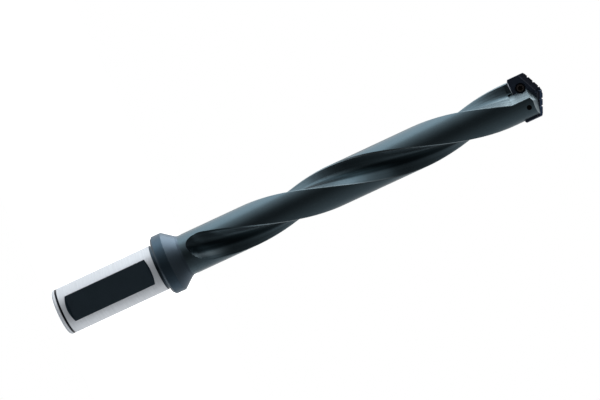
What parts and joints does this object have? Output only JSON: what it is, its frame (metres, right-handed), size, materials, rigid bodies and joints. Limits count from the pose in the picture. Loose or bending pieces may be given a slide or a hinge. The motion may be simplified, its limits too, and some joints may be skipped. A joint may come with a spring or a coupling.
{
  "type": "indexable insert drill",
  "caption": "Helical flute drill with a flanged side-lock shank and a clamped plate insert, for boring holes in metal on a machine tool.",
  "frame": {"origin": "centre of the shank's end face", "axes": "+Z along the tool's axis from the shank to the point, -Y out of the shank's flat, the insert lies in the XZ plane"},
  "size_m": [0.026, 0.026, 0.2205],
  "materials": {
    "holder": "black oxide on the body, ground bright on the shank",
    "insert": "dark hard coating",
    "screws": "dark oiled steel"
  },
  "bodies": {
    "root": {"drill_holder": "holder", "drill_insert": "insert", "insert_screw_front": "screws", "insert_screw_back": "screws"}
  },
  "joints": []
}
